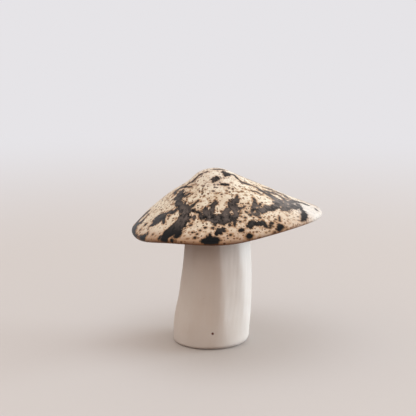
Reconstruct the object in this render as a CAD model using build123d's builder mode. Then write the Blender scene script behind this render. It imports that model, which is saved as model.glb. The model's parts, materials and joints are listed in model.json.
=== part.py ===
"""Ceramic mushroom ornament: a glazed cap that sits on a loose dowel in a hollow, faceted stem.

Millimetres and degrees. +Z is up, the front of the ornament faces -Y, and the origin is the middle of
the foot, on the surface that the ornament stands on.
"""
import os
from math import cos, radians, sin, tan

from build123d import *

# Cap, in its own tilted frame: heights are above the middle of the lip, along the cap's axis
cap_diameter = 74.5
cap_rise = 20.8
cap_tilt = 5.8  # the lip stands higher on the right
cap_lean = 10.6  # the crown leans to the left, over the lip
cap_wall = 5.0
rim_height = 49.2  # middle of the lip above the table
rim_offset = 5.2  # middle of the lip to the right of the middle of the foot
lip_thickness = 2.4
lip_slope = 33.0  # of the flank where it leaves the lip
flank_reach = 10.9  # how far the flank keeps to the slope of the lip
crown_radius = 13.2
crown_spread = 34.4  # half angle of the rounded crown
crown_reach = 6.0  # how far the flank keeps to the slope of the crown

# Stem: soft eight-sided sections, each with its height, its offset to the right and its width across flats
foot_offset = -0.15
foot_width = 29.0
heel_height = 10.0
heel_offset = 0.35
heel_width = 29.4
waist_height = 22.0
waist_offset = 1.7
waist_width = 27.4
neck_height = 37.0
neck_offset = 2.3
neck_width = 25.3
head_offset = 2.4
head_width = 23.6
facet_count = 8
facet_turn = 8.0
facet_corner = 6.5  # radius of the softened corner between two facets
foot_rounding = 2.2
head_rounding = 0.8
stem_floor = 5.0
stem_wall = 4.8
vent_diameter = 1.0
vent_height = 6.8
vent_offset = 0.4

# Seat: the plug in the top of the stem, the collar under the cap that rests on it, and their dowel
seat_height = 5.0  # seat above the middle of the lip, along the cap's axis
plug_diameter = 16.5
plug_length = 15.0
plug_ledge = 1.0
dowel_diameter = 8.0
dowel_depth = 10.0  # of the dowel in the plug
dowel_chamfer = 0.6
dowel_clearance = 0.05  # on the radius
dowel_end_room = 1.0
collar_diameter = 14.0
collar_margin = 0.3  # of the flat ceiling round the collar

# Tilted frames: the middle of the lip, and the seat on the top of the stem
tilt = radians(cap_tilt)
rim_plane = Plane(
    origin=(rim_offset, 0, rim_height),
    x_dir=(cos(tilt), 0, sin(tilt)),
    z_dir=(-sin(tilt), 0, cos(tilt)),
)
seat_level = rim_height + seat_height / cos(tilt) + (head_offset - rim_offset) * tan(tilt)
seat_plane = Plane(origin=(head_offset, 0, seat_level), x_dir=rim_plane.x_dir, z_dir=rim_plane.z_dir)
head_level = seat_level + head_width * tan(tilt)
ledge_level = seat_level - plug_length
bore_radius = dowel_diameter / 2 + dowel_clearance

# Cap outline, as distance from the axis and height: the lip, the ogee flank and the rounded crown
lip_radius = lip_thickness / 2
lip_centre = Vector(cap_diameter / 2 - lip_radius, 0)
slope = radians(lip_slope)
spread = radians(crown_spread)
lip_outward = Vector(sin(slope), cos(slope))
lip_inward_up = Vector(-cos(slope), sin(slope))
crown_outward = Vector(sin(spread), cos(spread))
crown_down = Vector(cos(spread), -sin(spread))
flank_foot = lip_centre + lip_outward * lip_radius
flank_head = Vector(0, cap_rise - crown_radius) + crown_outward * crown_radius
lip_front = lip_centre - lip_inward_up * lip_radius
under_lip = lip_centre - lip_outward * lip_radius

# The underside keeps the wall from the chord of the flank, up to a ceiling as wide as the collar needs
chord_up = (flank_head - flank_foot).normalized()
chord_outward = Vector(chord_up.Y, -chord_up.X)
wall_line = flank_foot - chord_outward * cap_wall
collar_offset = abs(rim_plane.to_local_coords(seat_plane.origin).X)
ceiling_radius = collar_diameter / 2 + collar_offset + collar_margin
ceiling_edge = wall_line + chord_up * ((ceiling_radius - wall_line.X) / chord_up.X)
ceiling_height = ceiling_edge.Y
collar_height = ceiling_height - seat_height
under_reach = flank_reach / 2

# Stem body: faceted outside, hollowed from above, with a ledge for the plug and a vent at the front
stem_sections = [
    (0, foot_offset, foot_width),
    (heel_height, heel_offset, heel_width),
    (waist_height, waist_offset, waist_width),
    (neck_height, neck_offset, neck_width),
    (head_level, head_offset, head_width),
]
with BuildPart() as stem_body:
    for height, to_right, width in stem_sections:
        with BuildSketch(Plane((to_right, 0, height))) as section:
            RegularPolygon(width / 2, facet_count, major_radius=False, rotation=facet_turn)
            fillet(section.vertices(), radius=facet_corner)
    loft()
    split(bisect_by=seat_plane, keep=Keep.BOTTOM)
    fillet(stem_body.faces().sort_by(Axis.Z)[0].edges(), radius=foot_rounding)
    fillet(stem_body.faces().sort_by(Axis.Z)[-1].edges(), radius=head_rounding)
    with BuildSketch(Plane((heel_offset, 0, stem_floor))):
        Circle(heel_width / 2 - stem_wall)
    with BuildSketch(Plane((head_offset, 0, ledge_level))):
        Circle(plug_diameter / 2 - plug_ledge)
    loft(mode=Mode.SUBTRACT)
    with BuildSketch(Plane((head_offset, 0, ledge_level))):
        Circle(plug_diameter / 2)
    extrude(amount=head_level - ledge_level, mode=Mode.SUBTRACT)
    with Locations(Plane(origin=(vent_offset, -heel_width, vent_height), z_dir=(0, -1, 0))):
        Hole(radius=vent_diameter / 2, depth=heel_width)
stem_body.part.label = "stem_body"

# Stem crown: the plug, flush with the seat, with the dowel's blind bore
with BuildPart() as stem_crown:
    with BuildSketch(Plane((head_offset, 0, ledge_level))):
        Circle(plug_diameter / 2)
    extrude(amount=head_level - ledge_level)
    split(bisect_by=seat_plane, keep=Keep.BOTTOM)
    with Locations(seat_plane):
        Hole(radius=bore_radius, depth=dowel_depth)
stem_crown.part.label = "stem_crown"

# Dowel: stands on the floor of its bore and stops short of the ceiling of the cap
with BuildPart() as locating_dowel:
    with BuildSketch(seat_plane.offset(-dowel_depth)):
        Circle(dowel_diameter / 2)
    extrude(amount=dowel_depth + collar_height - dowel_end_room)
    chamfer(locating_dowel.edges().filter_by(GeomType.CIRCLE), length=dowel_chamfer)
locating_dowel.part.label = "locating_dowel"

# Collar: the socket ring between the seat and the ceiling of the cap
with BuildPart() as cap_collar:
    with BuildSketch(seat_plane):
        Circle(collar_diameter / 2)
        Circle(bore_radius, mode=Mode.SUBTRACT)
    extrude(amount=collar_height)
cap_collar.part.label = "cap_collar"

# Cap shell: the outline is turned about the cap's axis while it still stands upright
with BuildPart() as upright_cap:
    with BuildSketch(Plane.XZ):
        with BuildLine():
            Bezier(
                flank_foot,
                flank_foot + lip_inward_up * flank_reach,
                flank_head + crown_down * crown_reach,
                flank_head,
            )
            RadiusArc(flank_head, (0, cap_rise), -crown_radius)
            Polyline((0, cap_rise), (0, ceiling_height), ceiling_edge)
            Bezier(
                ceiling_edge,
                ceiling_edge - chord_up * under_reach,
                under_lip + lip_inward_up * under_reach,
                under_lip,
            )
            ThreePointArc(under_lip, lip_front, flank_foot)
        make_face()
    revolve(axis=Axis.Z)

# The upright cap leans over to the left and is set at its tilt
lean = Matrix([[1, 0, -tan(radians(cap_lean)), 0], [0, 1, 0, 0], [0, 0, 1, 0]])
with BuildPart() as cap_shell:
    add(upright_cap.part.transform_geometry(lean).moved(rim_plane.location))
cap_shell.part.label = "cap_shell"

os.makedirs("parts", exist_ok=True)
for piece in (stem_body, stem_crown, locating_dowel, cap_collar, cap_shell):
    export_step(piece.part, f"parts/{piece.part.label}.step")
    print(piece.part.label, round(piece.part.volume, 1))
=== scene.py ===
import json
from math import cos, pi, radians, sin, tan

import bmesh
import bpy
import numpy as np
from mathutils import Matrix, Vector
from mathutils.bvhtree import BVHTree


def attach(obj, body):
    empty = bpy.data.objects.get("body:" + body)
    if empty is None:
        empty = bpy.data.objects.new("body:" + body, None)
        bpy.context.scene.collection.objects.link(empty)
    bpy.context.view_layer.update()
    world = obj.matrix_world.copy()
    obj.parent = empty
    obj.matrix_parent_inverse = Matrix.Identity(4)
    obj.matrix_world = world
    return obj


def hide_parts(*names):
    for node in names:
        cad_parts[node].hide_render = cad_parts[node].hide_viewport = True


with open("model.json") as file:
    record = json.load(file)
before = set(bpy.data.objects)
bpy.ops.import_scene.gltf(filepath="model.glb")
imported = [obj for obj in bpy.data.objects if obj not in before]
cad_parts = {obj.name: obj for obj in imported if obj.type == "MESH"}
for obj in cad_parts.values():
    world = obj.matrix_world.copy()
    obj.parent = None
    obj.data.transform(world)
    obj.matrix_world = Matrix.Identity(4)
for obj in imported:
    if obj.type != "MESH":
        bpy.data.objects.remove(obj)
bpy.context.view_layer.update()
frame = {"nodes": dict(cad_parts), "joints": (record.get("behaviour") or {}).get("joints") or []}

mm = 0.001
capJoint = next(joint for joint in frame["joints"] if joint["name"] == "cap_turn")
scene = bpy.context.scene
print("frame loaded:", ", ".join(sorted(frame["nodes"])))


# small helpers

def bezier(t, start, startPull, endPull, end):
    return ((1 - t) ** 3 * start + 3 * t * (1 - t) ** 2 * startPull
            + 3 * t * t * (1 - t) * endPull + t ** 3 * end)


def ease(low, high, value):
    t = np.clip((value - low) / (high - low), 0, 1)
    return t * t * (3 - 2 * t)


def smoothLine(places, values, at):
    # cubic through the listed values
    places, values = np.array(places, float), np.array(values, float)
    thirds = np.gradient(values, places) / 3
    k = np.clip(np.searchsorted(places, at) - 1, 0, len(places) - 2)
    span = places[k + 1] - places[k]
    t = np.clip((at - places[k]) / span, 0, 1)
    return bezier(t, values[k], values[k] + span * thirds[k],
                  values[k + 1] - span * thirds[k + 1], values[k + 1])


def ringSkin(name, rings, firstPole, lastPole):
    # closed skin over rings of equal count, each end drawn together in one point; millimetres in, metres out
    rows, around = rings.shape[:2]
    points = np.vstack([rings.reshape(-1, 3), [firstPole], [lastPole]]) * mm
    first, last = rows * around, rows * around + 1
    step = np.arange(around)
    after = (step + 1) % around
    faces = []
    for row in range(rows - 1):
        low, high = row * around, (row + 1) * around
        faces += np.stack([low + step, high + step, high + after, low + after], 1).tolist()
    bottom = (rows - 1) * around
    faces += [[first, int(a), int(b)] for a, b in zip(step, after)]
    faces += [[last, int(bottom + b), int(bottom + a)] for a, b in zip(step, after)]
    mesh = bpy.data.meshes.new(name)
    mesh.from_pydata(points.tolist(), [], faces)
    tidy = bmesh.new()
    tidy.from_mesh(mesh)
    bmesh.ops.recalc_face_normals(tidy, faces=tidy.faces)
    tidy.to_mesh(mesh)
    tidy.free()
    mesh.shade_smooth()
    return mesh


def addObject(name, data):
    made = bpy.data.objects.new(name, data)
    scene.collection.objects.link(made)
    return made


def finalMesh(holder):
    # what its modifiers make
    depsgraph = bpy.context.evaluated_depsgraph_get()
    return bpy.data.meshes.new_from_object(holder.evaluated_get(depsgraph))


def addPiece(name, mesh, material, body, node):
    piece = addObject(name, mesh)
    if not mesh.materials:
        mesh.materials.append(material)
    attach(piece, body)
    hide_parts(node)


def storeValues(mesh, name, values):
    # a number for each corner of the mesh, which its material reads by this name
    mesh.attributes.new(name, "FLOAT", "POINT").data.foreach_set("value", values.astype(np.float32))


def addNode(tree, kind, values=None, **settings):
    # a node whose inputs are linked, or set where a plain value is given
    made = tree.nodes.new(kind)
    for name, setting in settings.items():
        setattr(made, name, setting)
    for name, value in (values or {}).items():
        if isinstance(value, bpy.types.NodeSocket):
            tree.links.new(value, made.inputs[name])
        else:
            made.inputs[name].default_value = value
    return made.outputs


# shader maths: one wrapped socket, so that masks are written as expressions

class Wire:
    def __init__(self, tree, socket=None):
        self.tree = tree
        self.socket = socket

    def node(self, kind, values=None, out=0, **settings):
        values = {name: getattr(value, "socket", value) for name, value in (values or {}).items()}
        outputs = addNode(self.tree, "ShaderNode" + kind, values, **settings)
        return Wire(self.tree, outputs[out] if len(outputs) else None)

    def sums(self, operation, first, second=0.0):
        return self.node("Math", {0: first, 1: second}, operation=operation)

    def ease(self, low, high):
        # 0 at low, 1 at high; low may be the larger
        return self.node("MapRange", {0: self, 1: low, 2: high}, interpolation_type="SMOOTHSTEP")

    def blend(self, first, second):
        # colour: first where this mask is 0, second where it is 1
        return self.node("Mix", {0: self, 6: first, 7: second}, 2, data_type="RGBA")

    def grain(self, place, size, detail=2.0, rough=0.5):
        # noise with features about size mm across
        values = {"Vector": place, "Scale": 1 / (size * mm), "Detail": detail, "Roughness": rough}
        return self.node("TexNoise", values)

    def wobble(self, place, size, amount, detail=2.0, rough=0.5):
        # the same noise about zero, with amount between its ends
        return (self.grain(place, size, detail, rough) - 0.5) * amount

    def shifted(self, place, size, amount):
        # place pushed about by noise, by up to about amount mm
        values = {"Vector": place, "Scale": 1 / (size * mm), "Detail": 2.0}
        stir = self.node("TexNoise", values, "Color")
        push = self.node("VectorMath", {0: stir, 1: (0.5, 0.5, 0.5)}, operation="SUBTRACT")
        push = self.node("VectorMath", {0: push, 3: 2 * amount * mm}, operation="SCALE")
        return self.node("VectorMath", {0: place, 1: push}, operation="ADD")

    def dots(self, place, spacing, least, most, swell=1.0):
        # scattered round specks of least to most mm: a mask, and a random number for each speck
        values = {"Vector": place, "Scale": 1 / (spacing * mm)}
        away = self.node("TexVoronoi", values, "Distance")
        chance = self.node("TexVoronoi", values, "Color")
        dice = self.node("SeparateColor", {"Color": chance}, "Red")
        shade = self.node("SeparateColor", {"Color": chance}, "Green")
        reach = (least + (most - least) * dice) * swell / spacing
        return away.ease(reach, reach * 0.5), shade

    def stored(self, name, out="Fac"):
        # what the mesh holds under this name
        return self.node("Attribute", None, out, attribute_name=name)

    def part(self, letter):
        return self.node("SeparateXYZ", {"Vector": self}, letter)

    def awayFrom(self, spot):
        # metres from a spot that is given in mm
        return self.node("VectorMath", {0: self, 1: Vector(spot) * mm}, "Value", operation="DISTANCE")

    def ray(self, *kinds):
        # 1 for a ray of any of these kinds
        found = 0.0
        for kind in kinds:
            found = self.sums("MAXIMUM", self.node("LightPath", None, f"Is {kind} Ray"), found)
        return found


# arithmetic on wires, with a number or a wire on either side
for name, operation in (("add", "ADD"), ("sub", "SUBTRACT"), ("mul", "MULTIPLY"), ("truediv", "DIVIDE")):
    setattr(Wire, f"__{name}__", lambda wire, other, kind=operation: wire.sums(kind, wire, other))
    setattr(Wire, f"__r{name}__", lambda wire, other, kind=operation: wire.sums(kind, other, wire))


def startTree(owner):
    owner.use_nodes = True
    owner.node_tree.nodes.clear()
    return Wire(owner.node_tree)


def startMaterial(name):
    material = bpy.data.materials.new(name)
    wire = startTree(material)
    return material, wire, wire.node("TexCoord", None, "Object")


def finishMaterial(wire, colour, rough, height, depth, values=None):
    # depth is the height of the relief in mm
    normal = wire.node("Bump", {"Distance": depth * mm, "Height": height})
    values = {"Base Color": colour, "Roughness": rough, "Normal": normal, **(values or {})}
    wire.node("OutputMaterial", {"Surface": wire.node("BsdfPrincipled", values)})


# camera, as the photo was taken

cameraView = {
    "imageWidth": 416,  # pixels
    "focal": 1298.0,  # pixels
    "place": (-1.4, -500.0, 160.0),  # mm
    "lookDown": 11.99,  # degrees
    "sensor": 36.0,  # mm
}


def makeCamera(view):
    data = bpy.data.cameras.new("photoCamera")
    data.sensor_width = view["sensor"]
    data.lens = view["sensor"] * view["focal"] / view["imageWidth"]
    data.clip_start = 0.01
    camera = addObject("photoCamera", data)
    camera.location = Vector(view["place"]) * mm
    camera.rotation_euler = (radians(90 - view["lookDown"]), 0, 0)
    scene.camera = camera


def photoRay(view, px, py):
    # where the camera stands, and the way from there through a pixel
    middle = view["imageWidth"] / 2
    turn = Matrix.Rotation(radians(90 - view["lookDown"]), 3, "X")
    way = turn @ Vector((px - middle, middle - py, -view["focal"]))
    return Vector(view["place"]) * mm, way.normalized()


makeCamera(cameraView)
print("camera placed")


# cap: turned outline, leaned and tilted, with the uneven rim of a hand-formed piece

capShape = {
    "middle": (5.2, 0.0, 49.2),  # middle of the lip, mm
    "tilt": 5.8,  # degrees, lip higher on the right
    "lean": 10.6,  # degrees, crown over to the left
    "radius": 37.25,
    "rise": 20.8,
    "lipRadius": 1.2,
    "lipSlope": 33.0,
    "flankReach": 10.9,
    "crownRadius": 13.2,
    "crownSpread": 34.4,
    "crownReach": 6.0,
    "wall": 5.0,
    "ceilingRadius": 9.607,
    "around": 480,
    "rows": (16, 96, 16, 40, 8),  # crown, flank, lip, underside, ceiling
    "runStretch": 0.4,  # glaze runs down the flank: lower draws its grain out longer
    "runRadius": 25.0,  # mm from the axis, where that grain keeps its width
    # degrees from the front towards the right, spread in degrees, mm
    "rimLifts": ((1, 12, -0.7), (45, 20, 0.85), (-38, 15, 0.65), (-65, 14, -0.75), (-93, 13, -0.5),
                 (84, 13, -0.4), (116, 18, -0.55), (165, 25, 0.4), (215, 28, -0.5)),
    "rimReaches": ((90, 20, 0.95), (-85, 20, -0.35), (160, 30, -0.5), (-130, 25, 0.4)),
    # the same, with the share of the lip's thickness that is taken away
    "lipThins": ((86, 28, -0.15), (-20, 30, 0.1), (230, 25, 0.15)),
    # the same, then mm from the axis, its spread, and the mm that the outside stands proud
    "flankPresses": ((-98, 35, 21, 5, 0.25), (-98, 40, 10, 4, -0.4), (115, 35, 30, 7, -0.95),
                     (110, 40, 7, 4, 0.35), (20, 30, 22, 6, 0.2), (180, 25, 20, 7, -0.3),
                     (108, 22, 32.5, 2.5, 0.35), (-97, 28, 30, 4, 0.45)),
    # shares of the radius, between which the unevenness comes and goes
    "rimGrows": (0.30, 1.0),
    "flankGrows": (0.15, 0.5),
    "flankEnds": (0.75, 1.0),
    # mm from the lip, between which its thinning ends and the marks on both faces start
    "thinEnds": (2, 8),
    "marksStart": (0.4, 4),
    "waver": 0.22,  # mm of slow unevenness over the flank
    "pinchMarks": 0.22,  # mm of finger marks inside
}


def capOutline(shape):
    slope, spread = radians(shape["lipSlope"]), radians(shape["crownSpread"])
    outward = np.array([sin(slope), cos(slope)])
    inwardUp = np.array([-outward[1], outward[0]])
    crownOut = np.array([sin(spread), cos(spread)])
    crownDown = np.array([crownOut[1], -crownOut[0]])
    lipMiddle = np.array([shape["radius"] - shape["lipRadius"], 0])
    crownMiddle = np.array([0, shape["rise"] - shape["crownRadius"]])
    flankFoot = lipMiddle + outward * shape["lipRadius"]
    flankHead = crownMiddle + crownOut * shape["crownRadius"]
    underLip = lipMiddle - outward * shape["lipRadius"]
    chord = (flankHead - flankFoot) / np.linalg.norm(flankHead - flankFoot)
    wallLine = flankFoot - np.array([chord[1], -chord[0]]) * shape["wall"]
    ceilingEdge = wallLine + chord * ((shape["ceilingRadius"] - wallLine[0]) / chord[0])
    crownRows, flankRows, lipRows, underRows, ceilingRows = shape["rows"]
    a = np.linspace(0, spread, crownRows + 1)[1:]
    crown = crownMiddle + shape["crownRadius"] * np.stack([np.sin(a), np.cos(a)], 1)
    t = np.linspace(0, 1, flankRows + 1)[1:, None]
    flank = bezier(t, flankHead, flankHead + crownDown * shape["crownReach"],
                   flankFoot + inwardUp * shape["flankReach"], flankFoot)
    a = np.linspace(pi / 2 - slope, -pi / 2 - slope, lipRows + 1)[1:]
    lip = lipMiddle + shape["lipRadius"] * np.stack([np.cos(a), np.sin(a)], 1)
    pull = shape["flankReach"] / 2
    t = np.linspace(0, 1, underRows + 1)[1:, None]
    under = bezier(t, underLip, underLip + inwardUp * pull, ceilingEdge - chord * pull, ceilingEdge)
    ceiling = np.stack([np.linspace(ceilingEdge[0], 0, ceilingRows + 1)[1:-1],
                        np.full(ceilingRows - 1, ceilingEdge[1])], 1)
    outline = np.vstack([crown, flank, lip, under, ceiling])
    along = np.concatenate([[0], np.cumsum(np.linalg.norm(np.diff(outline, axis=0), axis=1))])
    lowest = np.argmin(outline[:, 1])
    return outline, along[lowest] - along, ceilingEdge[1]


def bumps(listed, angle):
    total = np.zeros_like(angle)
    for middle, spread, amount in listed:
        away = (angle - radians(middle) + pi) % (2 * pi) - pi
        total += amount * np.exp(-0.5 * (away / radians(spread)) ** 2)
    return total


def capTurn(shape):
    # leans the upright cap over, then tilts it
    lean, tilt = tan(radians(shape["lean"])), radians(shape["tilt"])
    c, s = cos(tilt), sin(tilt)
    return np.array([[c, 0, -s], [0, 1, 0], [s, 0, c]]) @ [[1, 0, -lean], [0, 1, 0], [0, 0, 1]]


def capToWorld(shape, x, y, u):
    return np.stack(np.broadcast_arrays(x, y, u), -1) @ capTurn(shape).T + shape["middle"]


def worldToCap(shape, points):
    return (points - np.array(shape["middle"])) @ np.linalg.inv(capTurn(shape)).T


def capMesh(shape):
    outline, lipPlace, ceiling = capOutline(shape)
    angle = np.linspace(0, 2 * pi, shape["around"], endpoint=False)[None, :]
    r, u = outline[:, :1], outline[:, 1:]
    out = r / shape["radius"]
    fromLip = lipPlace[:, None]
    rimShare = ease(*shape["rimGrows"], out)
    flankShare = ease(*shape["flankGrows"], out) * (1 - ease(*shape["flankEnds"], out))
    start, end = shape["marksStart"]
    thin = bumps(shape["lipThins"], angle) * (1 - ease(*shape["thinEnds"], np.abs(fromLip)))
    waver = (np.sin(3 * angle + 0.6) + 0.7 * np.sin(5 * angle + 2.1 + 0.12 * r)
             + 0.5 * np.sin(7 * angle - 0.2 * r))
    pinch = np.sin(13 * angle + 1.2 * np.sin(2 * angle) + 0.5 * r) * np.cos(0.55 * r)
    proud = 0
    for middle, spread, away, width, amount in shape["flankPresses"]:
        proud = proud + bumps(((middle, spread, amount),), angle) * np.exp(-0.5 * ((r - away) / width) ** 2)
    height = u * (1 - thin) + rimShare * bumps(shape["rimLifts"], angle) + shape["waver"] * flankShare * waver
    height = height + proud * ease(start, end, fromLip)
    height = height + shape["pinchMarks"] * flankShare * pinch * ease(-start, -end, fromLip)
    reach = r + rimShare * bumps(shape["rimReaches"], angle)
    rings = capToWorld(shape, reach * np.sin(angle), -reach * np.cos(angle), height)
    mesh = ringSkin("glazedCap", rings, capToWorld(shape, 0, 0, shape["rise"]),
                    capToWorld(shape, 0, 0, ceiling))
    poles = [lipPlace[0], lipPlace[-1]]
    storeValues(mesh, "lipPlace", np.append(np.repeat(lipPlace, shape["around"]), poles))
    away = shape["runRadius"] * (r / shape["runRadius"]) ** shape["runStretch"] * mm
    run = np.stack([away * np.sin(angle), -away * np.cos(angle), np.zeros_like(away * angle)], -1)
    run = np.vstack([run.reshape(-1, 3), np.zeros((2, 3))])
    mesh.attributes.new("runPlace", "FLOAT_VECTOR", "POINT").data.foreach_set("vector", run.ravel())
    return mesh


# dark glaze marks on the cap: each is a run of photo pixels with its half width in mm

glazeMarks = {
    "leftBand": ((180.8, 193, 1.9), (178.4, 197, 2.4), (179, 203.4, 2), (183.1, 208, 2.2),
        (186.3, 212.6, 2.2), (184.6, 217.4, 2.9), (180.4, 223.6, 3.1), (176, 228.2, 3.1),
        (169.6, 231.9, 2.7), (165.2, 236.5, 2), (164.7, 239.7, 1.4)),
    "leftBandTwig": ((182.6, 196.9, 1.2), (186.7, 195.1, 1.15), (189.5, 193.7, 0.9)),
    "leftBandFoot": ((178.4, 230.6, 1.9), (177.6, 235.2, 1.6)),
    "leftBandLink": ((179, 207, 0.9), (173.5, 212.1, 1), (168.4, 213, 0.6)),
    "leftShoulder": ((175.4, 193.8, 0.9), (175.6, 191.4, 0.9), (179.8, 188.2, 0.8), (184.4, 186.8, 0.7),
        (191.3, 186.8, 0.5)),
    "leftPatch": ((150.6, 225.4, 0.9), (154.4, 223.2, 1.7), (157.4, 220.6, 2.9), (159.6, 218.4, 3.3)),
    "leftPatchLink": ((161, 215.8, 1.3), (165.8, 213.6, 0.9), (170.5, 211.8, 0.9)),
    "leftPatchDrop": ((163.6, 219.6, 0.7), (163.8, 223.4, 0.5)),
    "leftEdge": ((149.2, 210.6, 0.8), (143.8, 215.4, 1.8), (138.6, 220.4, 2.3), (134.4, 226.4, 2.6),
        (132.6, 231.2, 2.6), (133.4, 235.2, 2.3), (137.4, 239.2, 1.6)),
    "leftEdgeInner": ((148.8, 214.4, 0.6), (145.2, 217.9, 0.9), (140.7, 222.4, 1.1), (136.3, 225.5, 0.9)),
    "leftRimBlob": ((141.6, 238, 1.6), (143.4, 237.6, 1.8)),
    "leftRimDash": ((147.6, 232.4, 0.5), (147.2, 235.2, 0.4)),
    "leftTwig": ((192, 206.1, 0.8), (195.2, 203.3, 0.4), (197.9, 201.1, 0.6)),
    "leftLink": ((189, 210, 1), (194.7, 211.2, 0.9), (198.9, 212.5, 0.8), (200.7, 216.2, 1),
        (204.4, 218, 1)),
    "crownLeft": ((187.7, 184.4, 0.5), (193.9, 180.4, 0.5), (198.4, 175.9, 0.5), (207.3, 171.5, 0.5)),
    "crownTop": ((213.6, 169.3, 0.5), (218.9, 169.3, 0.6), (224.3, 169.7, 0.5)),
    "crownKnot": ((222.4, 172.2, 0.6), (225.4, 172.2, 1.1), (225.4, 175.6, 0.9), (228.2, 174.6, 1),
        (230.2, 174.2, 0.6)),
    "crownRight": ((230.5, 174.2, 0.6), (234.6, 175.1, 0.6), (237.7, 178.6, 0.6), (241.7, 181.8, 0.6),
        (245.3, 183.5, 0.9), (250.6, 184.9, 0.7), (256, 187.2, 0.7), (261.7, 190.7, 0.9),
        (267.1, 191.8, 1.1), (272.5, 193.4, 1)),
    "crownSpot": ((213.2, 182, 0.7), (215.2, 179.4, 1.4), (216.2, 176.6, 0.6), (218.6, 178.6, 0.6)),
    "crownDash": ((221.4, 184.1, 0.5), (224.4, 184.4, 0.9), (227.8, 184.8, 0.5)),
    "centreKnob": ((209.4, 205.6, 0.5), (212.6, 205.6, 1.1), (215.4, 202.9, 1.2)),
    "centreArm": ((212.4, 207, 1.1), (210.9, 212, 1.4), (208, 215.7, 2)),
    "centreThumb": ((206.2, 209.3, 1.1), (205.7, 213, 1.3), (207, 216, 1.5)),
    "centreMass": ((208.5, 216.5, 2), (211.7, 219, 2.5), (217.2, 220.3, 2.5), (222.7, 219.9, 2.5),
        (228.2, 219.4, 2.3), (233.3, 219.4, 1.7), (234.7, 222.2, 0.9)),
    "centreNeck": ((224.4, 215.3, 1.7), (225.6, 211, 1.4), (230.1, 208.4, 1.6), (232.8, 203.8, 1.9),
        (233.8, 201.1, 1.8), (236.5, 198.8, 1), (237.2, 195.8, 0.5)),
    "centreHand": ((232, 208, 1.4), (236, 211.2, 1.7), (236.4, 215.3, 1.7), (233.8, 218.5, 1.6)),
    "centreFinger": ((236, 209, 1), (240.2, 208.4, 0.9), (243.9, 206.6, 0.8)),
    "dripOne": ((214.6, 222, 0.8), (215.4, 225.6, 0.4)),
    "dripTwo": ((224, 221, 0.8), (224.1, 225.2, 0.4)),
    "dripThree": ((234.5, 222, 0.7), (234.7, 226.5, 0.3)),
    "lowPatch": ((216.3, 235.5, 0.5), (217.9, 232.7, 1.4), (220.9, 230.8, 1.7), (225, 231.4, 0.8)),
    "rimBlob": ((203.4, 241, 1.3), (209, 240.5, 2.3), (214.5, 241, 2), (218.6, 240.3, 0.9)),
    "rimBlobSpike": ((210, 237.5, 1.3), (210.2, 234, 0.6)),
    "rimSpot": ((247.6, 236.6, 0.9), (249.2, 235.8, 1.4), (252.1, 235.4, 0.6)),
    "lowRight": ((250, 225.6, 1.5), (252.8, 223.6, 1.9), (257.3, 223.8, 1.5), (262.8, 222.9, 1),
        (266.6, 226.8, 0.8)),
    "lowRightDrop": ((271.4, 222.8, 0.9), (270.4, 227.8, 0.6)),
    "rightDrop": ((280.7, 226, 1.4), (279, 229.5, 1.2)),
    "rightDash": ((279.6, 216.5, 0.4), (279.6, 221, 0.5)),
    "spike": ((253.6, 198.3, 0.5), (255.5, 203.2, 0.9), (253.4, 208.6, 0.85), (251.9, 214, 1.2)),
    "spikeTwig": ((260.6, 203.7, 0.5), (258.6, 206.6, 0.4)),
    "rightBand": ((256.5, 214.2, 1.2), (260, 212, 1.5), (264.4, 209.7, 1.9), (270.4, 208.6, 1.9),
        (276.9, 205.4, 1.8), (277.9, 202.1, 1.3)),
    "rightBandTail": ((283.4, 209.7, 1.7), (286.1, 207.5, 1.9), (291.5, 208.1, 1.7), (296.9, 207, 1.5)),
    "rightPatch": ((284.4, 204, 0.9), (288.8, 202.2, 1.2), (293.1, 201.4, 1.3), (297.5, 202.3, 1.1)),
    "rightHook": ((297.5, 203.6, 1), (300.2, 207.5, 1.1), (302.6, 210.6, 1.25), (304, 213.4, 1.3),
        (304.4, 216.2, 1.3), (303.4, 219, 1.1), (301.4, 221, 0.5)),
    "rightFill": ((284.6, 206.2, 0.8), (288.5, 205.2, 1), (293, 204.8, 1), (297.2, 206.2, 0.9)),
    "rightUpper": ((300.8, 202.4, 1), (304.4, 203.8, 1.7), (307.6, 204.9, 1.1)),
    "strandBand": ((259.5, 190.4, 0.7), (264.4, 191.9, 1.3), (270.5, 195.6, 1.8), (275.6, 199.5, 2),
        (279.7, 203, 1.6)),
    "strandOne": ((268, 193, 0.9), (274.7, 197.2, 1), (279, 199.4, 1), (281.2, 202.1, 0.9)),
    "strandTwo": ((274.7, 192.9, 0.7), (280.1, 196.1, 0.9), (284.4, 199.4, 0.9), (286.6, 203.2, 0.9)),
    "strandThree": ((277, 191.8, 0.7), (284.4, 195.1, 1), (287.7, 198.3, 0.8)),
    "strandFour": ((251, 190.6, 0.4), (257, 192.2, 0.7), (261.5, 194.6, 0.7)),
    "strandFive": ((263.5, 187.2, 0.7), (271.5, 190, 1.1), (278, 193, 0.8)),
    "strandSix": ((281, 196.8, 0.5), (287.5, 199.8, 0.6), (293, 200.6, 0.6)),
    "strandSeven": ((270.5, 196.8, 0.5), (275.5, 200.2, 0.7), (277.5, 203.5, 0.8)),
    "strandEight": ((290, 198.6, 0.4), (296, 200.8, 0.5), (302, 203.5, 0.6)),
    "ridgeStreak": ((244, 177.2, 0.4), (247.5, 178.8, 0.5), (250.5, 180.2, 0.3)),
    "tipMark": ((315, 208.2, 0.5), (317.2, 210.6, 0.6)),
}
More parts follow.
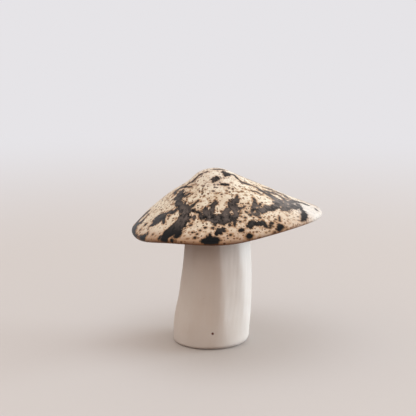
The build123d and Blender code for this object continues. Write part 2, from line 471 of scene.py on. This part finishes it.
glazeSpots = {  # round marks, in the same units
    "left": ((145.6, 224.4, 0.8), (140.3, 229.8, 0.8), (152.8, 234.6, 0.5), (158.8, 238.4, 0.9),
        (171.6, 240.6, 0.9), (168.9, 216.2, 0.7), (176.3, 218.5, 0.7), (193.3, 217.6, 1.1)),
    "low": ((190.4, 225.4, 0.5), (205.3, 227.7, 0.5), (200.2, 230.4, 0.5), (192, 232.3, 0.6),
        (197, 234.1, 0.5), (194.7, 237.8, 0.8), (212.6, 228.1, 0.6), (230.5, 235, 0.7), (229.6, 225.2, 0.7),
        (242, 230, 1.2)),
    "right": ((246.1, 212.1, 0.6), (245.2, 217.6, 0.6), (240.2, 221.7, 0.5), (260, 217.3, 0.6),
        (275, 232.9, 0.9), (287.2, 229.7, 0.5), (303.2, 225.4, 0.4)),
}
glazeFreckles = {  # small brown ones
    "left": ((139.2, 237.4, 1.5), (136.6, 236.4, 1.2), (156.8, 211.7, 0.4), (161.7, 210.4, 0.4),
        (150.6, 219.7, 0.4), (152.8, 220.6, 0.4), (143.4, 229.6, 0.4), (155.5, 235.8, 0.5),
        (151.4, 239.4, 0.4), (158.1, 226.4, 0.3), (169.8, 201.9, 0.4), (160.8, 203.2, 0.3),
        (172.4, 204.1, 0.7), (172, 197, 0.6), (173.3, 218.4, 0.4), (184, 235.8, 0.5), (186.7, 238.9, 0.6),
        (175.1, 241.2, 0.8), (181.4, 242.1, 0.6)),
    "crown": ((203.4, 185.8, 0.7), (197.8, 185.2, 0.5), (193.8, 184.5, 0.5), (205.9, 189.4, 0.5),
        (202.5, 191, 0.6), (213, 191.2, 0.7), (216.4, 193, 0.5), (204.1, 195.9, 0.6), (195.4, 196.5, 0.5),
        (197.8, 200.8, 0.7), (221.7, 194.3, 0.6), (226.6, 193.2, 0.6), (226.8, 190.7, 0.5),
        (228.9, 188, 0.7), (233.1, 188.9, 0.6), (231.3, 182.5, 0.6), (223.9, 178, 0.6), (241.8, 191.4, 0.8),
        (245.8, 189.2, 0.7), (245.8, 195.2, 0.6), (248.1, 203.7, 0.6), (202.5, 206.8, 0.5),
        (200.7, 201.4, 0.5), (216.4, 197.9, 0.4), (210.1, 200.6, 0.5), (192.5, 202.3, 0.5),
        (189.4, 203.2, 0.5), (187.2, 197.4, 0.6), (192.5, 193.8, 0.6), (192.5, 188, 0.4)),
    "low": ((205.2, 231.8, 0.5), (237.3, 238.1, 0.5), (192.7, 222.2, 0.4), (201.4, 221.1, 0.4),
        (234.9, 224.2, 0.6), (244.9, 220.6, 0.6), (240.9, 213.1, 0.6), (241.4, 216.2, 0.5),
        (223.5, 237.6, 0.4)),
    "right": ((287.3, 215.8, 0.5), (288.3, 219.4, 0.6), (289.9, 222.9, 0.5), (294.5, 219.9, 0.5),
        (291.9, 214.3, 0.4), (298, 216.8, 0.6), (298.6, 220.4, 0.6), (296, 226, 0.6), (286.3, 227, 0.6),
        (269.5, 231.1, 0.6), (265.9, 232.6, 0.5), (275.6, 219.4, 0.7), (276.6, 222.4, 0.6),
        (267.9, 218.3, 0.6), (273.6, 226.5, 0.6), (256.7, 231.9, 0.5), (259.8, 238, 0.6),
        (311.8, 212.4, 0.4), (310.6, 218.4, 0.5)),
}
# the unseen half repeats the marks, turned round the cap: degrees, and mm behind its axis where they start
backTurn = {"turn": 172.0, "startAt": -3.0}


def singles(groups):
    return [(spot,) for group in groups.values() for spot in group]


def meetCap(mesh, skin, view, runs):
    # each mark as points on the cap's surface, mm, with half widths
    corners = np.array([v.co for v in mesh.vertices])
    met = []
    for run in runs:
        points = []
        for px, py, half in run:
            start, direction = photoRay(view, px, py)
            hit = skin.ray_cast(start, direction)[0]
            if hit is None:  # just outside: the nearest point of the edge
                off = np.cross(corners - np.array(start), np.array(direction))
                hit = corners[np.argmin(np.linalg.norm(off, axis=1))]
            points.append((*(np.array(hit) / mm), half))
        met.append(np.array(points))
    return met


def turnedMarks(shape, skin, met, turn):
    angle = radians(turn["turn"])
    turned = []
    for points in met:
        local = worldToCap(shape, points[:, :3])
        if local[:, 1].max() > turn["startAt"]:
            continue
        flat = (local[:, 0] + 1j * local[:, 1]) * np.exp(1j * angle)
        behind = capToWorld(shape, flat.real, flat.imag, local[:, 2])
        places = [skin.find_nearest(Vector(place) * mm)[0] / mm for place in behind]
        turned.append(np.column_stack([np.array(places), points[:, 3]]))
    return turned


def markDistance(mesh, runs):
    # for each corner, mm to the edge of the nearest mark, negative inside it, and that mark's half width
    farthest = 30.0  # mm, more than any gap between the marks
    dot = [0.01, 0, 0, 0]  # a single spot is drawn out by this much
    corners = np.array([v.co for v in mesh.vertices]) / mm
    nearest = np.full(len(corners), farthest)
    width = np.ones(len(corners))
    for run in runs:
        if len(run) == 1:
            run = np.vstack([run, run + dot])
        for start, end in zip(run[:-1], run[1:]):
            reach = end[:3] - start[:3]
            t = np.clip((corners - start[:3]) @ reach / max(reach @ reach, 1e-9), 0, 1)
            half = start[3] + t * (end[3] - start[3])
            gap = np.linalg.norm(corners - start[:3] - t[:, None] * reach, axis=1) - half
            width = np.where(gap < nearest, half, width)
            nearest = np.minimum(nearest, gap)
    return nearest, width


def markField(mesh, skin, runs):
    # the same for marks that are given in the photo, with the turned ones behind
    marks = meetCap(mesh, skin, cameraView, runs)
    return markDistance(mesh, marks + turnedMarks(capShape, skin, marks, backTurn))


glaze = {
    "cream": (0.86, 0.80, 0.665, 1),
    "creamDeep": (0.765, 0.67, 0.525, 1),
    # painted highlight: the whitened cream where the glaze's sheen shows
    "pale": (0.82, 0.83, 0.815, 1),
    "freckle": (0.52, 0.33, 0.17, 1),
    "halo": (0.47, 0.255, 0.12, 1),
    "speck": (0.26, 0.14, 0.078, 1),
    "speckDark": (0.085, 0.050, 0.036, 1),
    "slate": (0.009, 0.010, 0.011, 1),
    "umberAndSheen": (0.165, 0.138, 0.126, 1),  # what the marks thin to, paler higher up the flank as painted sheen
    "paintedSheen": (0.235, 0.215, 0.20, 1),  # painted sheen on the marks on the right
    # warmer towards the lip: partly thinning glaze, partly painted shade
    "rimWarmAndShade": (0.58, 0.42, 0.31, 1),
    # browner at the lip: partly thin glaze, partly painted shade, deepest on the front left
    "lipTanAndShade": (0.38, 0.23, 0.145, 1),
    "rimBrown": (0.20, 0.095, 0.05, 1),
    "clay": (0.54, 0.46, 0.37, 1),
    "clayDeep": (0.44, 0.36, 0.28, 1),
    # painted highlights: mm, and how strongly the cream is whitened there
    "highlightSpots": ((42, -7, 54, 0.62), (-24, 22, 46, 0.5), (2, -3, 70, 0.2), (31, -16, 51, 0.16)),
    "highlightReach": (17 * mm, 5 * mm),
    "lipShadeSpot": (-10, -32, 47),  # mm, where the painted shade on the lip is deepest
    "lipShadeReach": (32 * mm, 12 * mm),
    "toRight": (6 * mm, 32 * mm),  # between which the right side begins
    "toLeft": (-20 * mm, -12 * mm),  # between which the left side ends
    # grain of the marks' edges, and how far it moves them, mm
    "edgeRuns": (1.5, 3.4),
    "edgeBlots": (2.4, 3.6),
    "edgeTeeth": (0.7, 2.6),
    # spacing, least radius and most radius, mm
    "freckleDots": (1.0, 0.3, 0.75),
    "speckDots": (1.2, 0.3, 0.85),
    "dashDots": (1.6, 0.2, 0.65),
    "spotDots": (2.7, 0.05, 1.0),
}


def glazeMaterial(paint):
    # gap is mm outside the nearest mark; lip is mm along the outline from the lip, negative under the cap
    material, wire, place = startMaterial("blotchedGlaze")
    gap, width, brownGap, lip = map(wire.stored, ("markGap", "markWidth", "freckleGap", "lipPlace"))
    run = wire.stored("runPlace", "Vector")
    across = place.part("X")
    toRight = across.ease(*paint["toRight"])
    # marks, with feathered edges that run down the flank
    feather = wire.wobble(run, *paint["edgeRuns"], 3, 0.6) + wire.wobble(place, *paint["edgeBlots"], 3)
    feather = feather + wire.wobble(place, *paint["edgeTeeth"], 3, 0.6)
    ragged = gap + feather * width.ease(0.1, 1.6) * (0.5 + 0.65 * lip.ease(3, 11))
    soft = 0.25 + 0.3 * lip.ease(9, 2)
    dark = ragged.ease(soft, 0 - soft)
    near = ragged.ease(1.5, 0.0)
    # specks and freckles, thicker near the marks, on the crown and low on the right
    stirred = wire.shifted(place, 0.8, 0.35)
    drawn = wire.shifted(run, 0.9, 0.3)
    crowd = 0.60 + 0.3 * wire.grain(place, 5.0).ease(0.35, 0.65) + 0.12 * near + 0.12 * lip.ease(14, 26)
    crowd = crowd + 0.16 * toRight * lip.ease(16, 9)
    freckles, freckleShade = wire.dots(stirred, *paint["freckleDots"], crowd)
    specks, speckShade = wire.dots(stirred, *paint["speckDots"], crowd)
    dashes, dashShade = wire.dots(drawn, *paint["dashDots"], crowd * (0.3 + 0.7 * lip.ease(4, 26)))
    spots, spotShade = wire.dots(stirred, *paint["spotDots"], crowd)
    # the cream body, warmer and darker towards the lip, partly thinning glaze and partly painted shade that
    # is deepest on the front left, with its freckles, halos and specks
    body = wire.grain(place, 6.0, 3).ease(0.35, 0.7).blend(paint["cream"], paint["creamDeep"])
    # painted shade, with thinning glaze: the body warms and browns towards the lip, most on the front left
    body = (lip.ease(14, 0.5) * 0.5).blend(body, paint["rimWarmAndShade"])
    toLipShade = place.awayFrom(paint["lipShadeSpot"]).ease(*paint["lipShadeReach"])
    body = (lip.ease(8, 1.0) * (0.3 + 0.65 * toLipShade)).blend(body, paint["lipTanAndShade"])
    body = (freckles * (0.25 + 0.5 * freckleShade)).blend(body, paint["freckle"])
    body = (near * near * wire.grain(place, 1.3).ease(0.15, 0.5) * 0.8).blend(body, paint["halo"])
    for mask, shade in ((specks, speckShade), (dashes, dashShade), (spots, spotShade)):
        brown = shade.ease(0.5, 0.95).blend(paint["speck"], paint["speckDark"])
        body = (mask.ease(0.0, 0.4) * shade.ease(0.05, 0.45) * 0.6).blend(body, paint["freckle"])
        body = (mask.ease(0.2, 0.9) * shade.ease(0.05, 0.45)).blend(body, brown)
    stain = brownGap + wire.wobble(place, 0.9, 0.9) + wire.wobble(run, 0.7, 0.5)
    brown = wire.grain(place, 3.5).ease(0.42, 0.58).blend(paint["speckDark"], paint["speck"])
    body = (stain.ease(0.6, 0.0) * 0.45).blend(body, paint["freckle"])
    body = stain.ease(0.1, -0.3).blend(body, brown)
    # painted highlight: the cream whitened round a few spots, where the glaze's sheen shows; thin holds its
    # strength
    thin = 0.0
    for *spot, share in paint["highlightSpots"]:
        thin = place.awayFrom(spot).ease(*paint["highlightReach"]) * share + thin
    body = thin.blend(body, paint["pale"])
    # the dark marks, which thin to brown in streaks; painted sheen makes them paler higher up the flank and
    # grey on the right, and painted shade keeps them darker near the lip and on the left
    streak = wire.grain(run, 0.7, 3, 0.6) * 0.45 + wire.grain(place, 3.0) * 0.55
    thinAndSheen = streak.ease(0.37, 0.57) * lip.ease(4, 17) * (0.6 + 0.4 * gap.ease(-0.3, -2.0))
    thinAndSheen = thinAndSheen * (0.35 + 0.65 * across.ease(*paint["toLeft"])) * (1 - 0.5 * lip.ease(16, 25))
    mark = thinAndSheen.blend(paint["slate"], paint["umberAndSheen"])
    # painted sheen: the marks turn grey on the right
    mark = (toRight * lip.ease(1, 18) * (0.22 + 0.46 * streak.ease(0.4, 0.6))).blend(mark, paint["paintedSheen"])
    body = dark.blend(body, mark)
    # the brown edge of the lip, faded under the painted highlights, and the bare clay under the cap
    edge = wire.sums("ABSOLUTE", lip + wire.wobble(place, 2.0, 1.2) - 0.5).ease(1.5, 0.3)
    body = (edge * (0.85 - thin * 1.4)).blend(body, paint["rimBrown"])
    bare = lip.ease(-0.5, -1.2)
    clay = wire.grain(place, 0.6, 3).ease(0.3, 0.7).blend(paint["clay"], paint["clayDeep"])
    colour = bare.blend(body, clay)
    rough = (0.40 + 0.12 * wire.grain(place, 0.9) - 0.05 * dark) * (1 - bare) + 0.75 * bare
    relief = wire.grain(place, 1.1) * 0.6 + dark * 0.35 - specks * 0.05
    relief = relief * (1 - bare) + wire.grain(place, 0.5, 3) * bare
    finishMaterial(wire, colour, rough, relief, 0.10, {"IOR": 1.4, "Specular IOR Level": 0.22})
    return material


glazedCap = capMesh(capShape)
capSkin = BVHTree.FromPolygons([v.co for v in glazedCap.vertices], [p.vertices for p in glazedCap.polygons])
markGap, markWidth = markField(glazedCap, capSkin, list(glazeMarks.values()) + singles(glazeSpots))
freckleGap = markField(glazedCap, capSkin, singles(glazeFreckles))[0]
storeValues(glazedCap, "markGap", markGap)
storeValues(glazedCap, "markWidth", markWidth)
storeValues(glazedCap, "freckleGap", freckleGap)
addPiece("glazedCap", glazedCap, glazeMaterial(glaze), "cap", "cap_shell")
print("cap glazed:", len(glazedCap.vertices), "corners")


# stem: soft knife-cut facets, a flat foot, and the pocket for the plug at the top

stemShape = {
    # mm up, and how far the outline then reaches to the left and to the right
    "heights": (0, 5, 8, 11.2, 14.5, 17.9, 24.5, 31, 38, 46, 57),
    "left": (-15.2, -15.2, -15.05, -14.7, -13.98, -13.2, -12.25, -11.35, -10.7, -10.1, -9.4),
    "right": (14.9, 15.2, 15.45, 15.7, 15.8, 15.95, 15.98, 15.85, 15.35, 14.7, 14.1),
    # degrees from the front towards the right, and how far out the cut lies
    "facets": ((-12, 1.0), (31, 0.985), (72, 0.99), (112, 1.0), (158, 0.99), (203, 1.0), (247, 0.985),
               (298, 0.995)),
    "softness": 18,  # higher is a crisper corner between two cuts
    "twist": (8, 5, 42, -10),  # the cuts stand 5 degrees round at 8 mm up, and -10 at 42 mm
    "footFade": (1.5, 15),  # mm up, between which the round foot takes on the cuts
    "footReach": 1.03,
    "footRound": (1.0, 2.6),  # mm, on the left and on the right
    "headRound": 0.8,
    "brushMarks": 0.022,  # mm of the upright marks left by wiping
    "brushFade": (4, 16),  # mm up, between which they start
    "pocketRadius": 8.3,
    "pocketBevel": 0.3,
    "pocketDepth": 15.0,
    "ledge": 1.0,
    "floor": 5.0,
    "hollowRadius": 9.9,
    "hollowOffset": 0.35,
    "ventPlace": (0.4, 6.9),  # to the right and up, mm
    "ventRadius": 0.38,
    "ventTaper": 0.9,  # width inside, as a share of the width outside
    "ventStain": 0.6,  # mm from its middle that the colour reaches
    "drillMiddle": -13.0,  # mm, towards the front
    "drillLength": 14.0,
    "drillSides": 28,
    "around": 288,
    "footRows": 9,
    "wallRows": 72,
    "headRows": 6,
    "widthSteps": 720,  # round a section, to find its width
}


def facetReach(shape, angle):
    total = np.zeros_like(angle)
    for facing, out in shape["facets"]:
        total += np.clip(np.cos(angle - radians(facing)) / out, 0, None) ** shape["softness"]
    return total ** (-1 / shape["softness"])


def sectionReach(shape, angle, height):
    low, lowTurn, high, highTurn = shape["twist"]
    turn = np.radians(lowTurn + (height - low) / (high - low) * (highTurn - lowTurn))
    share = ease(*shape["footFade"], height)
    return shape["footReach"] + share * (facetReach(shape, angle - turn) - shape["footReach"])


def stemOutline(shape, angle, height, inset):
    # points of the section at each height, drawn in by inset
    reach = sectionReach(shape, angle, height)
    wiped = (np.sin(17 * angle + 0.06 * height) * np.sin(0.13 * height + 4 * np.sin(3 * angle))
             + np.sin(31 * angle - 0.04 * height) * np.sin(0.17 * height + 3 * np.sin(5 * angle) + 2))
    inset = inset - shape["brushMarks"] * wiped * ease(*shape["brushFade"], height)
    fine = np.linspace(0, 2 * pi, shape["widthSteps"])
    across = sectionReach(shape, fine, np.mean(height)) * np.sin(fine)
    middle, half = (across.max() + across.min()) / 2, (across.max() - across.min()) / 2
    left = smoothLine(shape["heights"], shape["left"], height)
    right = smoothLine(shape["heights"], shape["right"], height)
    scale = (right - left) / 2
    x = (left + right) / 2 + scale * (reach * np.sin(angle) - middle) / half - inset * np.sin(angle)
    y = -(scale * reach / half - inset) * np.cos(angle)
    return x, y


def seatHeight(x, y):
    # height of the tilted seat on the top of the stem, mm
    place, axis = capJoint["pos_m"], capJoint["axis"]
    return place[2] / mm - (axis[0] * (x - place[0] / mm) + axis[1] * (y - place[1] / mm)) / axis[2]


def stemMesh(shape):
    angle = np.linspace(0, 2 * pi, shape["around"], endpoint=False)
    seatX, _, seatZ = (value / mm for value in capJoint["pos_m"])
    low, high = shape["footRound"]
    foot = low + (high - low) * (0.5 + 0.5 * np.sin(angle))
    head, pocket, bevel = shape["headRound"], shape["pocketRadius"], shape["pocketBevel"]
    ledgeRadius, ledgeHeight = pocket - shape["ledge"], seatZ - shape["pocketDepth"]
    rings = []

    def lay(x, y, z):
        rings.append(np.stack(np.broadcast_arrays(x, y, z), 1))

    def ring(radius, offset, height=None):
        # round the inside, on the tilted seat where no height is given
        x, y = offset + radius * np.sin(angle), -radius * np.cos(angle)
        lay(x, y, seatHeight(x, y) if height is None else height)

    x, y = stemOutline(shape, angle, np.zeros_like(angle), foot)
    for share in (0.35, 0.7, 0.9):  # flat of the foot
        lay(x * share, y * share, 0.0)
    for turn in np.linspace(0, pi / 2, shape["footRows"]):  # rounded edge of the foot
        height = foot * (1 - np.cos(turn))
        lay(*stemOutline(shape, angle, height, foot * (1 - np.sin(turn))), height)
    top = np.full_like(angle, seatZ)
    for attempt in range(4):  # the top follows the tilted seat, which a few rounds find
        top = seatHeight(*stemOutline(shape, angle, top, 0))
    for share in np.linspace(0, 1, shape["wallRows"] + 1)[1:]:
        height = foot + share * (top - head - foot)
        lay(*stemOutline(shape, angle, height, 0), height)
    for turn in np.linspace(0, pi / 2, shape["headRows"])[1:]:  # rounded edge of the head
        x, y = stemOutline(shape, angle, top, head * (1 - np.cos(turn)))
        lay(x, y, seatHeight(x, y) - head * (1 - np.sin(turn)))
    ring(pocket + bevel, seatX)  # pocket for the plug, its ledge, and the hollow below
    ring(pocket, seatX)
    rings[-1][:, 2] -= bevel
    for share in (0.33, 0.66, 1.0):
        ring(pocket, seatX)
        rings[-1][:, 2] += share * (ledgeHeight - rings[-1][:, 2])
    ring(ledgeRadius, seatX, ledgeHeight)
    for share in (0.25, 0.5, 0.75, 1.0):
        ring(ledgeRadius + share * (shape["hollowRadius"] - ledgeRadius),
             seatX + share * (shape["hollowOffset"] - seatX),
             ledgeHeight + share * (shape["floor"] - ledgeHeight))
    ring(shape["hollowRadius"] / 2, shape["hollowOffset"], shape["floor"])
    return ringSkin("facetedStem", np.array(rings), (0, 0, 0), (shape["hollowOffset"], 0, shape["floor"]))


def cutVent(mesh, shape):
    # the kiln vent, cut right through the wall at the front
    across, up = shape["ventPlace"]
    radius = shape["ventRadius"] * mm
    drill = bmesh.new()
    bmesh.ops.create_cone(drill, cap_ends=True, segments=shape["drillSides"], radius1=radius,
                          radius2=radius * shape["ventTaper"], depth=shape["drillLength"] * mm)
    middle = Matrix.Translation(Vector((across, shape["drillMiddle"], up)) * mm)
    bmesh.ops.transform(drill, verts=drill.verts, matrix=middle @ Matrix.Rotation(radians(-90), 4, "X"))
    drillMesh = bpy.data.meshes.new("drill")
    drill.to_mesh(drillMesh)
    drill.free()
    cutter, uncut = addObject("drill", drillMesh), addObject("uncutStem", mesh)
    cut = uncut.modifiers.new("vent", "BOOLEAN")
    cut.operation = "DIFFERENCE"
    cut.solver = "EXACT"
    cut.object = cutter
    drilled = finalMesh(uncut)
    for item in (cutter, uncut):
        bpy.data.objects.remove(item)
    drilled.name = "facetedStem"
    return drilled


clay = {
    "white": (0.845, 0.835, 0.815, 1),
    "warm": (0.77, 0.72, 0.67, 1),
    "streak": (0.875, 0.87, 0.86, 1),
    "fleck": (0.45, 0.33, 0.25, 1),
    "vent": (0.22, 0.07, 0.05, 1),
}


def stemMaterial(paint, shape):
    material, wire, place = startMaterial("satinClay")
    tall = wire.node("Mapping", {"Vector": place, "Scale": (1, 1, 0.18)})
    colour = (wire.grain(place, 9, 3).ease(0.35, 0.75) * 0.35).blend(paint["white"], paint["warm"])
    colour = (wire.grain(tall, 1.6, 3).ease(0.45, 0.75) * 0.3).blend(colour, paint["streak"])
    fleck, fleckShade = wire.dots(place, 3.0, 0.02, 0.22)
    colour = (fleck * 0.5 * fleckShade).blend(colour, paint["fleck"])
    across, up = shape["ventPlace"]
    side = place.part("X") - across * mm
    rise = place.part("Z") - up * mm
    front = place.part("Y").ease(0, -5 * mm)
    away = wire.sums("SQRT", side * side + rise * rise)
    stain = away.ease(shape["ventStain"] * mm, shape["ventRadius"] * mm) * front
    colour = stain.blend(colour, paint["vent"])
    rough = 0.50 + 0.16 * wire.grain(place, 2.5, 3)
    height = wire.grain(tall, 1.2, 3) * 0.6 + wire.grain(place, 0.4, 2) * 0.25 - fleck * 0.3
    finishMaterial(wire, colour, rough, height, 0.06, {"IOR": 1.45})
    return material


facetedStem = cutVent(stemMesh(stemShape), stemShape)
facetedStem.materials.clear()
facetedStem.shade_smooth()
addPiece("facetedStem", facetedStem, stemMaterial(clay, stemShape), "stem", "stem_body")
print("stem cut:", len(facetedStem.vertices), "corners")


# plug and collar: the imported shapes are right, so they only get their clay

roughClay = {
    "plug": ("stem_crown", (0.74, 0.69, 0.63, 1), (0.60, 0.53, 0.46, 1)),
    "collar": ("cap_collar", (0.70, 0.62, 0.53, 1), (0.55, 0.46, 0.37, 1)),
}
grogColour = (0.40, 0.31, 0.23, 1)  # coarse grains in both


def roughClayMaterial(name, pale, deep):
    material, wire, place = startMaterial(name)
    grit = wire.grain(place, 0.5, 3)
    colour = wire.grain(place, 3.0, 3).ease(0.3, 0.7).blend(pale, deep)
    grog, grogShade = wire.dots(place, 1.1, 0.03, 0.22)
    colour = (grog * grogShade).blend(colour, grogColour)
    finishMaterial(wire, colour, 0.72 + 0.2 * grit, grit + wire.grain(place, 1.6, 2), 0.10)
    return material


for name, (node, pale, deep) in roughClay.items():
    held = frame["nodes"][node]
    held.data.materials.clear()
    held.data.materials.append(roughClayMaterial(name + "Clay", pale, deep))
print("plug and collar finished")


# dowel: fluted beech pin, built by geometry nodes along its own axis

dowelShape = {
    "radius": 4.0,
    "length": 15.38,
    "depth": 10.0,  # in the plug
    "flutes": 22,
    "fluteDepth": 0.22,
    "chamfer": 0.6,
    "around": 220,
    "rows": 60,
    "sharpFrom": 35,  # degrees between faces
}
beech = {"pale": (0.66, 0.46, 0.28, 1), "deep": (0.48, 0.30, 0.16, 1), "ray": (0.30, 0.17, 0.08, 1)}


def beechMaterial(paint):
    material, wire, place = startMaterial("beech")
    lean = (0, radians(capShape["tilt"]), 0)
    along, ray = (wire.node("Mapping", {"Vector": place, "Rotation": lean, "Scale": (1, 1, drawn)})
                  for drawn in (0.09, 0.35))
    colour = wire.grain(along, 0.9, 3).ease(0.3, 0.7).blend(paint["pale"], paint["deep"])
    fleck, fleckShade = wire.dots(ray, 0.8, 0.02, 0.16)
    colour = (fleck * (0.4 + 0.4 * fleckShade)).blend(colour, paint["ray"])
    finishMaterial(wire, colour, 0.55 + 0.2 * wire.grain(along, 0.5, 2), wire.grain(along, 0.35, 3), 0.05)
    return material


def dowelTree(shape, material):
    tree = bpy.data.node_groups.new("flutedDowel", "GeometryNodeTree")
    for name in ("radius", "length", "flutes", "fluteDepth", "chamfer"):
        kind = "NodeSocketInt" if name == "flutes" else "NodeSocketFloat"
        tree.interface.new_socket(name, in_out="INPUT", socket_type=kind)
    tree.interface.new_socket("Geometry", in_out="OUTPUT", socket_type="NodeSocketGeometry")

    def add(kind, values=None, out=0):
        return addNode(tree, "GeometryNode" + kind, values)[out]

    def sums(operation, first, second=0.0):
        return addNode(tree, "ShaderNodeMath", {0: first, 1: second}, operation=operation)[0]

    given = addNode(tree, "NodeGroupInput")
    # section: a circle with grooves pressed into it
    circle = add("CurvePrimitiveCircle", {"Resolution": shape["around"], "Radius": given["radius"]})
    turn = sums("MULTIPLY", add("SplineParameter", None, "Factor"), 2 * pi)
    wave = sums("COSINE", sums("MULTIPLY", turn, given["flutes"]))
    groove = sums("MULTIPLY", sums("POWER", sums("MAXIMUM", wave, 0.0), 2.0), given["fluteDepth"])
    shrink = sums("SUBTRACT", 1.0, sums("DIVIDE", groove, given["radius"]))
    pressed = {0: add("InputPosition"), 3: shrink}
    pressed = addNode(tree, "ShaderNodeVectorMath", pressed, operation="SCALE")[0]
    section = add("SetPosition", {"Geometry": circle, "Position": pressed})
    # axis, with both ends drawn in for the chamfer
    tip = addNode(tree, "ShaderNodeCombineXYZ", {"Z": given["length"]})[0]
    axis = add("ResampleCurve", {"Curve": add("CurvePrimitiveLine", {"End": tip}), "Count": shape["rows"]})
    run = add("SplineParameter", None, "Length")
    toEnd = sums("MINIMUM", run, sums("SUBTRACT", given["length"], run))
    drawnIn = sums("MAXIMUM", sums("SUBTRACT", given["chamfer"], toEnd), 0.0)
    swell = sums("SUBTRACT", 1.0, sums("DIVIDE", drawnIn, given["radius"]))
    pin = {"Curve": axis, "Profile Curve": section, "Scale": swell, "Fill Caps": True}
    pin = add("RealizeInstances", {"Geometry": add("CurveToMesh", pin)})
    pin = add("SetMaterial", {"Geometry": pin, "Material": material})
    addNode(tree, "NodeGroupOutput", {"Geometry": pin})
    return tree


def dowelMesh(shape, material):
    holder = addObject("dowelHolder", bpy.data.meshes.new("dowelHolder"))
    flutes = holder.modifiers.new("flutes", "NODES")
    flutes.node_group = dowelTree(shape, material)
    for item in flutes.node_group.interface.items_tree:
        if item.in_out == "INPUT":
            size = shape[item.name]
            flutes[item.identifier] = size if item.name == "flutes" else size * mm
    mesh = finalMesh(holder)
    holder.modifiers.remove(flutes)
    bpy.data.objects.remove(holder)
    axis = Vector(capJoint["axis"])
    foot = Vector(capJoint["pos_m"]) - axis * shape["depth"] * mm
    upright = Vector((0, 0, 1)).rotation_difference(axis).to_matrix().to_4x4()
    mesh.transform(Matrix.Translation(foot) @ upright)
    mesh.shade_smooth()
    mesh.set_sharp_from_angle(angle=radians(shape["sharpFrom"]))
    mesh.name = "flutedDowel"
    return mesh


beechWood = beechMaterial(beech)
addPiece("flutedDowel", dowelMesh(dowelShape, beechWood), beechWood, "dowel", "locating_dowel")
print("dowel turned")


# floor and light

studio = {
    "floor": (0.60, 0.585, 0.58, 1),
    "floorBounce": (0.19, 0.12, 0.09, 1),  # what the floor throws back on the object
    "floorReach": 4.0,  # metres
    "floorFade": (0.14, 0.55),  # metres from the object, where the floor turns into the backdrop
    "backdrop": (0.79, 0.775, 0.80, 1),
    "ceiling": (0.20, 0.18, 0.17, 1),  # overhead, as it shows in the gloss
    "ceilingFade": (0.95, 0.3),
    "lightLow": (0.10, 0.066, 0.048, 1),  # at the horizon
    # soft light from higher up: its colour, and how far up it takes over, as the sine of the angle
    "lightBands": (((1.42, 1.13, 0.96, 1), 0.16, 0.34),
                   ((0.62, 0.52, 0.43, 1), 0.42, 0.62),
                   ((1.64, 1.67, 1.75, 1), 0.78, 0.95)),
    "lightLeft": (1.16, 0.98, 0.84, 1),  # soft fill from the left
    "leftFade": (-0.1, -0.9),
    "leftRise": (0.12, 0.45),
    "key": {"place": (1.95, 0.30, 0.15), "size": 1.5, "power": 61.0, "colour": (0.85, 0.95, 1.0)},
    "aim": (0.0, 0.0, 0.045),
}


def makeFloor(paint):
    # one wide sheet, whose far parts turn into the backdrop
    reach = paint["floorReach"]
    corners = [(-reach, -reach, 0), (reach, -reach, 0), (reach, reach, 0), (-reach, reach, 0)]
    mesh = bpy.data.meshes.new("paleFloor")
    mesh.from_pydata(corners, [], [(0, 1, 2, 3)])
    material, wire, place = startMaterial("paleFloor")
    shown = wire.ray("Camera", "Glossy", "Transmission")
    colour = shown.blend(paint["floorBounce"], paint["floor"])
    normal = wire.node("Bump", {"Distance": 0.01 * mm, "Height": wire.grain(place, 1.0)})
    rough = 0.6 + 0.1 * wire.grain(place, 3)
    sheet = wire.node("BsdfPrincipled", {"Base Color": colour, "Roughness": rough, "Normal": normal})
    glow = wire.node("Emission", {"Color": paint["backdrop"]})
    fade = place.awayFrom((0, 0, 0)).ease(*paint["floorFade"]) * shown
    wire.node("OutputMaterial", {"Surface": wire.node("MixShader", {0: fade, 1: sheet, 2: glow})})
    mesh.materials.append(material)
    floor = addObject("paleFloor", mesh)


def makeWorld(paint):
    world = bpy.data.worlds.new("studio")
    wire = startTree(world)
    way = wire.node("TexCoord", None, "Generated")
    up = way.part("Z")
    light = paint["lightLow"]
    for band, start, end in paint["lightBands"]:
        light = up.ease(start, end).blend(light, band)
    left = way.part("X").ease(*paint["leftFade"]) * up.ease(*paint["leftRise"])
    light = left.blend(light, paint["lightLeft"])
    gloss = up.ease(*paint["ceilingFade"]).blend(paint["ceiling"], paint["backdrop"])
    colour = wire.ray("Glossy", "Transmission").blend(light, gloss)
    colour = wire.ray("Camera").blend(colour, paint["backdrop"])
    wire.node("OutputWorld", {"Surface": wire.node("Background", {"Color": colour})})
    scene.world = world


def makeLamp(lamp, aim):
    data = bpy.data.lights.new("keyLight", "AREA")
    data.energy = lamp["power"]
    data.size = lamp["size"]
    data.color = lamp["colour"]
    light = addObject("keyLight", data)
    light.location = lamp["place"]
    light.visible_glossy = False  # soft, with no glare of its own in the glaze
    light.rotation_euler = (Vector(aim) - Vector(lamp["place"])).to_track_quat("-Z", "Y").to_euler()


makeFloor(studio)
makeWorld(studio)
makeLamp(studio["key"], studio["aim"])
scene.view_settings.view_transform = "Standard"
print("floor and light set")
